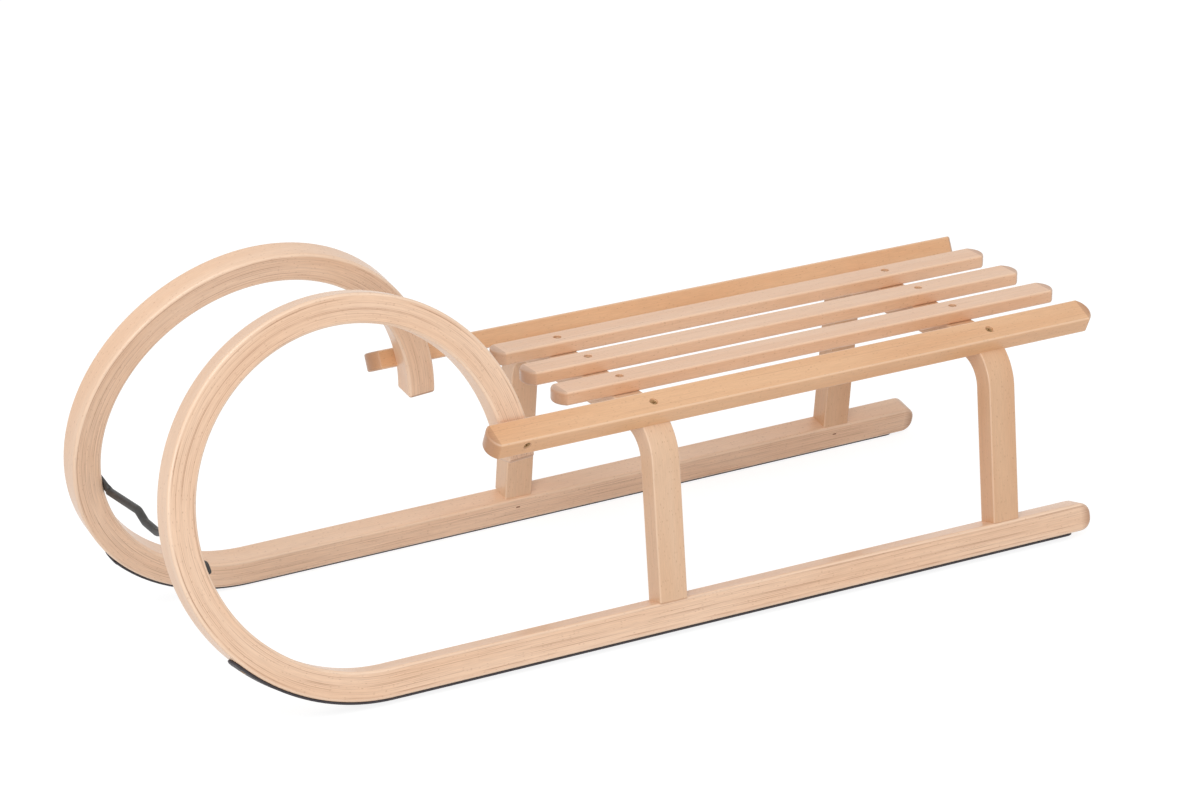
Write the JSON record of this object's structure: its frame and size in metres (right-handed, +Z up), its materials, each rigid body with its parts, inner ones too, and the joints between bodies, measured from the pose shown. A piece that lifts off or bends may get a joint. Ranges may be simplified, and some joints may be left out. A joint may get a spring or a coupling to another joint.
{
  "type": "horn sled",
  "caption": "Wooden sled with bent runners whose horns curl back to a slatted seat on bent bows, with steel running strips and a steel tie bar between the horns.",
  "frame": {"origin": "on the floor, under the middle of the sled's whole length, width and height box", "axes": "+X forwards to the horns, +Y to the sled's left, +Z up"},
  "size_m": [1.0302, 0.3574, 0.3844],
  "materials": {
    "runner_wood": "satin clear varnish",
    "bow_wood": "satin clear varnish",
    "slat_wood": "satin clear varnish",
    "outer_slat_wood": "satin clear varnish",
    "strip_steel": "satin black",
    "tie_bar_steel": "satin dark grey"
  },
  "bodies": {
    "root": {"runner_left": "runner_wood", "runner_right": "runner_wood", "running_strip_left": "strip_steel", "running_strip_right": "strip_steel", "bow_front": "bow_wood", "bow_rear": "bow_wood", "slat_outer_left": "outer_slat_wood", "slat_outer_right": "outer_slat_wood", "slat_left": "slat_wood", "slat_centre": "slat_wood", "slat_right": "slat_wood", "tie_bar": "tie_bar_steel"}
  },
  "joints": []
}
